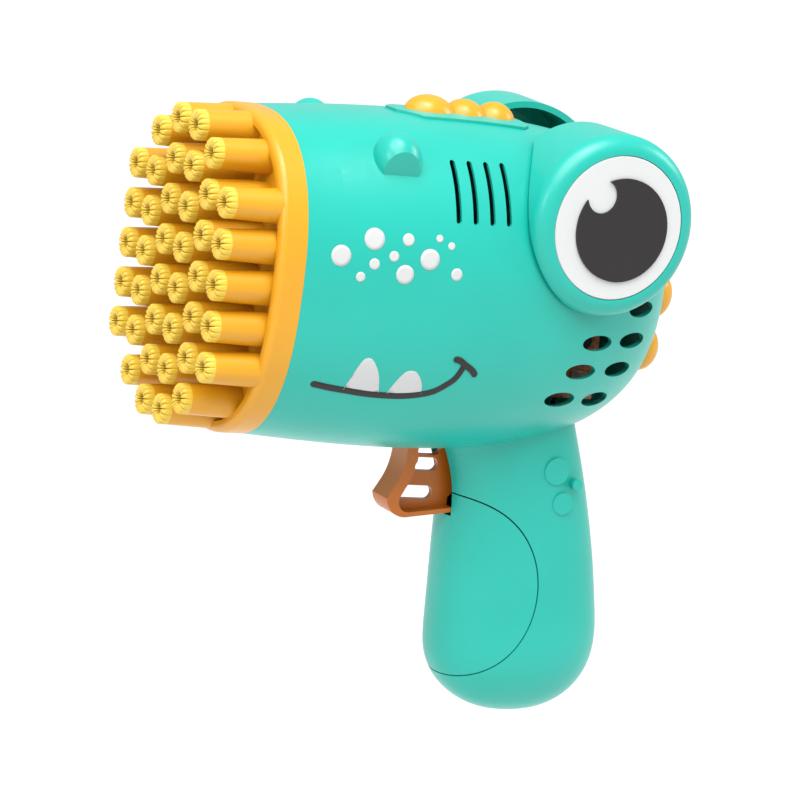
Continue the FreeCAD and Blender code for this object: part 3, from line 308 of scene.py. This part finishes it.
def petal_ring(face_x, length):
    """One toothed ring about the X axis, its face at face_x: grooves run out from the bore between petals."""
    form = bmesh.new()
    bmesh.ops.create_grid(form, x_segments=PETAL_STEPS, y_segments=len(PETAL_PROFILE) - 1, size=0.5)
    half_turn = math.pi / PETALS
    for vertex in form.verts:
        across, along = 2 * vertex.co.x, vertex.co.y + 0.5
        radius, depth = PETAL_PROFILE[round(along * (len(PETAL_PROFILE) - 1))]
        edge = abs(across) ** 5
        radius += SLIT_REACH * edge * max(0.0, (3.5 - radius) / 1.75)
        if radius > 4.0:
            radius -= SCALLOP * edge * max(0.0, 1 - depth / 2.5)
        depth = min(length / MM, depth + GROOVE * edge * max(0.0, 1 - depth / 2.0))
        angle = across * half_turn
        vertex.co = Vector((face_x + depth * MM, radius * MM * math.cos(angle), radius * MM * math.sin(angle)))
    bmesh.ops.spin(form, geom=form.verts[:] + form.edges[:] + form.faces[:], axis=(1, 0, 0), cent=(0, 0, 0),
                   steps=PETALS - 1, angle=2 * math.pi * (PETALS - 1) / PETALS, use_duplicate=True)
    bmesh.ops.remove_doubles(form, verts=form.verts, dist=2e-6)
    bmesh.ops.recalc_face_normals(form, faces=form.faces)
    return form


def islands(node):
    """Lowest and highest corners of a node's separate solids."""
    form = bmesh.new()
    form.from_mesh(frame["nodes"][node].data)
    bmesh.ops.remove_doubles(form, verts=form.verts, dist=1e-6)
    boxes, seen = [], set()
    for first in form.verts:
        if first in seen:
            continue
        seen.add(first)
        group, front = [first], [first]
        while front:
            for edge in front.pop().link_edges:
                for vertex in edge.verts:
                    if vertex not in seen:
                        seen.add(vertex)
                        group.append(vertex)
                        front.append(vertex)
        places = [vertex.co.copy() for vertex in group]
        boxes.append((Vector(map(min, zip(*places))), Vector(map(max, zip(*places)))))
    form.free()
    return boxes


def add_tips():
    """Every tube ends in a ring of petals; one ring is modelled and copied to each tube."""
    low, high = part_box("bubble_tips")
    ring = petal_ring(low.x, high.x - low.x)
    tips = bmesh.new()
    patch = bpy.data.meshes.new("petal_ring")
    ring.to_mesh(patch)
    ring.free()
    for bottom, top in islands("bubble_tips"):
        middle = (bottom + top) / 2
        patch.transform(Matrix.Translation((0, middle.y, middle.z)))
        tips.from_mesh(patch)
        patch.transform(Matrix.Translation((0, -middle.y, -middle.z)))
    bpy.data.meshes.remove(patch)
    # The tips' paler colour is painted highlight, not a different plastic.
    piece = add_piece("petal_tips", tips, "housing", tip_painted_highlight_finish, 50)
    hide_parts("bubble_tips")


# ---------------------------------------------------------------- printed face

def side_surface(node):
    """A search tree over a node's surface, to lay prints on."""
    form = bmesh.new()
    form.from_mesh(frame["nodes"][node].data)
    tree = BVHTree.FromBMesh(form)
    form.free()
    return tree


SIDES = {-1: ("left", side_surface("shell_left")), 1: ("right", side_surface("shell_right"))}
INK_LIFT, OVERPRINT_LIFT, INK_THICKNESS = 0.07 * MM, 0.15 * MM, 0.14 * MM
BESIDE = 200 * MM


def lay_on_side(form, side, lift):
    """Move a flat figure, drawn in X and Z, onto the outer surface of one side of the body."""
    surface = SIDES[side][1]
    for vertex in form.verts:
        start = Vector((vertex.co.x, side * BESIDE, vertex.co.z))
        hit, normal, _, _ = surface.ray_cast(start, Vector((0, -side, 0)))
        if normal.y * side < 0:
            normal.negate()
        vertex.co = hit + normal * lift


def add_print(name, form, side, material, lift=INK_LIFT):
    """Lay a flat figure on one side and give it the thickness of a printed film."""
    lay_on_side(form, side, lift)
    bmesh.ops.recalc_face_normals(form, faces=form.faces)
    if sum(face.normal.y * side for face in form.faces) < 0:
        bmesh.ops.reverse_faces(form, faces=form.faces)
    piece = add_piece(f"{name}_{SIDES[side][0]}", form, "housing", material, 180)
    slab = piece.modifiers.new("thickness", "SOLIDIFY")
    slab.thickness, slab.offset = INK_THICKNESS, -1
    return piece


# The figures below are drawn in X and Z, in mm, on a plane beside the head.
SPOTS = (  # centre and radius of each cheek spot
    (-96.4, 112.9, 3.2), (-85.9, 118.5, 3.3), (-74.8, 119.0, 1.9), (-64.5, 120.0, 1.15), (-60.4, 118.0, 1.15),
    (-79.2, 113.8, 1.6), (-85.4, 111.1, 1.7), (-89.5, 107.0, 1.5), (-75.1, 108.6, 2.9), (-67.3, 113.6, 3.2),
    (-57.9, 109.6, 1.9))
SMILE_HALF_WIDTH, TICK_HALF_WIDTH = 0.98, 1.0
SMILE = ((-98.9, 73.0), (-93.5, 72.1), (-87.5, 71.4), (-78.5, 70.6), (-69.5, 70.6), (-63.0, 71.4), (-58.2, 72.8),
         (-54.6, 75.2), (-52.1, 77.6), (-50.3, 81.6))
SMILE_TICK = ((-54.5, 83.6), (-52.2, 83.2), (-50.3, 82.0), (-47.4, 80.3), (-45.4, 78.3))
TEETH = (
    ((-87.9, 71.6), (-86.6, 75.6), (-85.0, 79.9), (-83.4, 82.1), (-81.2, 81.9), (-78.6, 78.4), (-77.2, 74.8),
     (-76.3, 71.0)),
    ((-73.6, 71.0), (-72.3, 74.2), (-70.2, 77.7), (-68.4, 79.0), (-65.9, 78.7), (-63.8, 76.4), (-62.7, 73.9),
     (-62.3, 71.6)))


def smooth_line(points, steps):
    """Points along a smooth curve through the given ones."""
    padded = [points[0], *points, points[-1]]
    line = []
    for before, start, finish, after in zip(padded, padded[1:], padded[2:], padded[3:]):
        for step in range(steps):
            t = step / steps
            line.append(Vector([0.5 * (2 * b + (c - a) * t + (2 * a - 5 * b + 4 * c - d) * t * t
                                       + (3 * b - a - 3 * c + d) * t ** 3)
                                for a, b, c, d in zip(before, start, finish, after)]))
    line.append(Vector(points[-1]))
    return line


def add_spots(side):
    """White printed spots on the cheek."""
    form = bmesh.new()
    for x, z, radius in SPOTS:
        facing_y = Matrix.Translation((x * MM, 0, z * MM)) @ Matrix.Rotation(math.pi / 2, 4, "X")
        disc = bmesh.ops.create_circle(form, cap_ends=True, cap_tris=True, segments=40, radius=radius * MM,
                                       matrix=facing_y)
        spokes = {edge for vertex in disc["verts"] for edge in vertex.link_edges}
        bmesh.ops.subdivide_edges(form, edges=list(spokes), cuts=2, use_grid_fill=True)
    add_print("cheek_spots", form, side, white_ink)


def stroke(form, points, half_width, steps):
    """A brush stroke with round ends along a smooth line."""
    line = smooth_line(points, steps)
    lengths = [0.0]
    for a, b in zip(line, line[1:]):
        lengths.append(lengths[-1] + (b - a).length)
    total, across = lengths[-1], 4
    grid = bmesh.ops.create_grid(form, x_segments=len(line) - 1, y_segments=across, size=0.5)
    for vertex in grid["verts"]:
        index = round((vertex.co.x + 0.5) * (len(line) - 1))
        heading = (line[min(index + 1, len(line) - 1)] - line[max(index - 1, 0)]).normalized()
        to_end = min(lengths[index], total - lengths[index])
        wide = half_width
        if to_end < half_width:
            wide *= math.sqrt(max(0.0, 1 - (1 - to_end / half_width) ** 2))
        offset = 2 * vertex.co.y * max(wide, half_width * 0.12)
        middle = line[index]
        vertex.co = Vector(((middle.x - heading.y * offset) * MM, 0, (middle.y + heading.x * offset) * MM))


def add_smile(side):
    """The dark line of the mouth and the tick that ends it."""
    form = bmesh.new()
    stroke(form, SMILE, SMILE_HALF_WIDTH, 8)
    stroke(form, SMILE_TICK, TICK_HALF_WIDTH, 8)
    add_print("smile_line", form, side, black_ink, OVERPRINT_LIFT)


def add_teeth(side):
    """Two printed teeth that stand on the mouth's line."""
    form = bmesh.new()
    for outline in TEETH:
        corners = [form.verts.new((point.x * MM, 0, point.y * MM)) for point in smooth_line(outline, 5)]
        form.faces.new(corners)
    bmesh.ops.triangulate(form, faces=form.faces)
    bmesh.ops.subdivide_edges(form, edges=form.edges, cuts=3, use_grid_fill=True)
    add_print("printed_teeth", form, side, white_ink)


finish_cad_nodes()
add_tips()
for side in SIDES:
    add_spots(side)
    add_smile(side)
    add_teeth(side)


# ---------------------------------------------------------------- floor, light and surroundings

def add_floor():
    """A wide sheet of pale paper well below the object, so that its shadow spreads out to nothing."""
    form = bmesh.new()
    bmesh.ops.create_grid(form, x_segments=1, y_segments=1, size=12.0)
    mesh = bpy.data.meshes.new("floor")
    form.to_mesh(mesh)
    form.free()
    floor = bpy.data.objects.new("floor", mesh)
    bpy.context.collection.objects.link(floor)
    mesh.transform(Matrix.Translation((0, 0, cad_low.z - FLOOR_DROP)))
    paper = Finish("floor_paper", Roughness=0.9)
    paper.feed(Base_Color=paper.mix(paper.noise(3.0), (0.66, 0.66, 0.66, 1), (0.64, 0.64, 0.64, 1)))
    mesh.materials.append(paper.material)


def aim(lamp, place, target):
    light = bpy.data.objects.new(lamp.name, lamp)
    bpy.context.collection.objects.link(light)
    direction = Vector(target) - Vector(place)
    light.matrix_world = Matrix.Translation(place) @ direction.to_track_quat("-Z", "Y").to_matrix().to_4x4()


def add_softbox(name, place, size, power):
    lamp = bpy.data.lights.new(name, "AREA")
    lamp.shape, lamp.size, lamp.energy = "DISK", size, power
    aim(lamp, place, MIDDLE)


def add_surroundings():
    """A bright white room and one very soft light from above and in front."""
    scene = bpy.context.scene
    scene.view_settings.view_transform = "Standard"
    world = bpy.data.worlds.new("studio")
    scene.world = world
    world.use_nodes = True
    sky = world.node_tree.nodes["Background"].inputs
    sky["Color"].default_value = (1, 1, 1, 1)
    sky["Strength"].default_value = 0.66
    overhead = bpy.data.lights.new("overhead_panel", "SUN")
    overhead.energy, overhead.angle = 3.9, math.radians(60)
    aim(overhead, (-0.45, -0.55, 1.3), MIDDLE)


MIDDLE = (-0.04, 0, 0.08)
FLOOR_DROP = 0.27
add_floor()
add_surroundings()
add_softbox("top_softbox", (-0.1, -0.35, 1.1), 0.30, 3.0)
add_softbox("front_softbox", (-1.1, -0.5, 0.45), 0.30, 2.5)
add_softbox("rear_softbox", (0.9, -0.2, 0.6), 0.35, 3.0)
